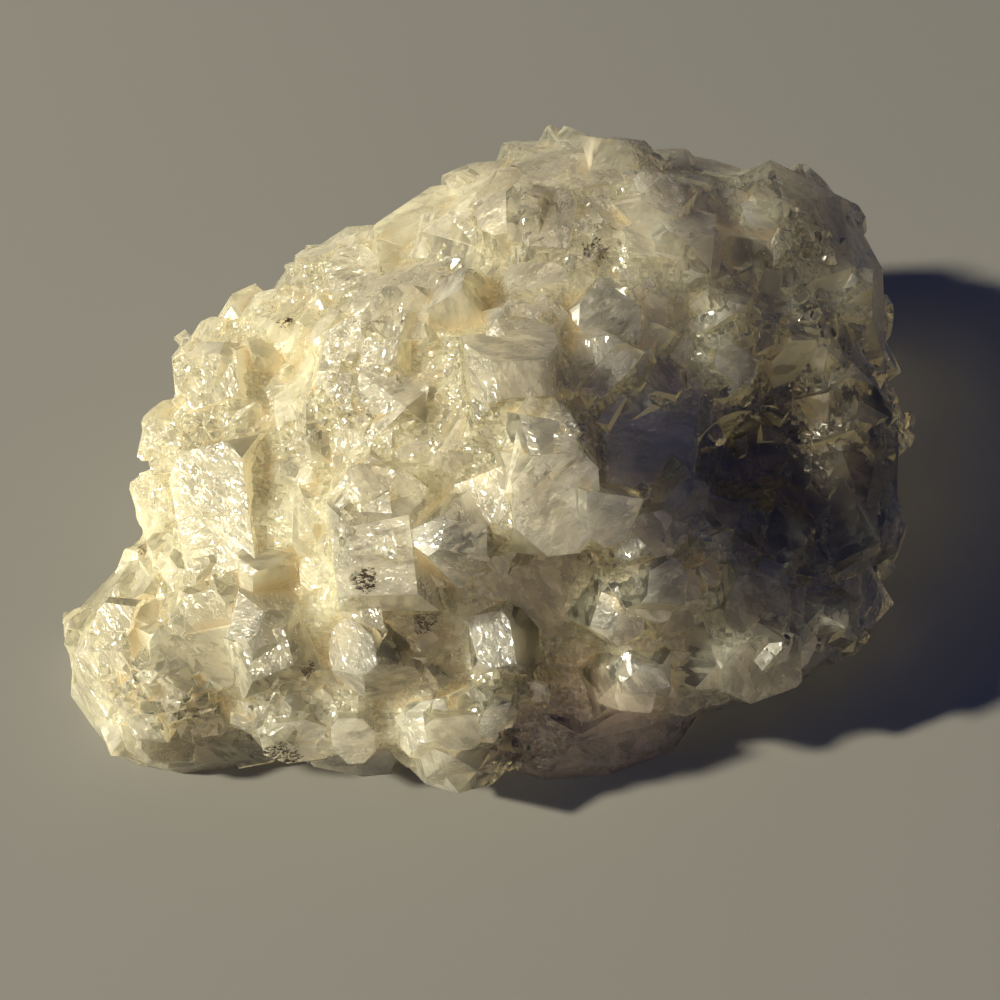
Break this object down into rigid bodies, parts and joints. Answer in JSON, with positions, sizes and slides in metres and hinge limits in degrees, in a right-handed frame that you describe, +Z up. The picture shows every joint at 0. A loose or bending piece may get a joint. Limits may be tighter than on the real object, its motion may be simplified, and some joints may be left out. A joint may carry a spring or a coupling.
{
  "type": "quartz cluster",
  "caption": "Hand-sized cluster of milky, blocky quartz crystals fused over massive quartz, humped on top, with a flat cut base to rest on",
  "frame": {"origin": "middle of the underside: the centre of the bounding box at the flat base", "axes": "+Z up, +X along the length towards the tall end, -Y towards the long gentle slope with the largest crystals"},
  "size_m": [0.145, 0.1126, 0.0642],
  "materials": {
    "quartz": "milky to clear quartz crystals with glassy faces, cream in the light, pinkish brown near the foot, specks of dark stain in the crevices"
  },
  "bodies": {
    "root": {"quartz_cluster": "quartz"}
  },
  "joints": []
}
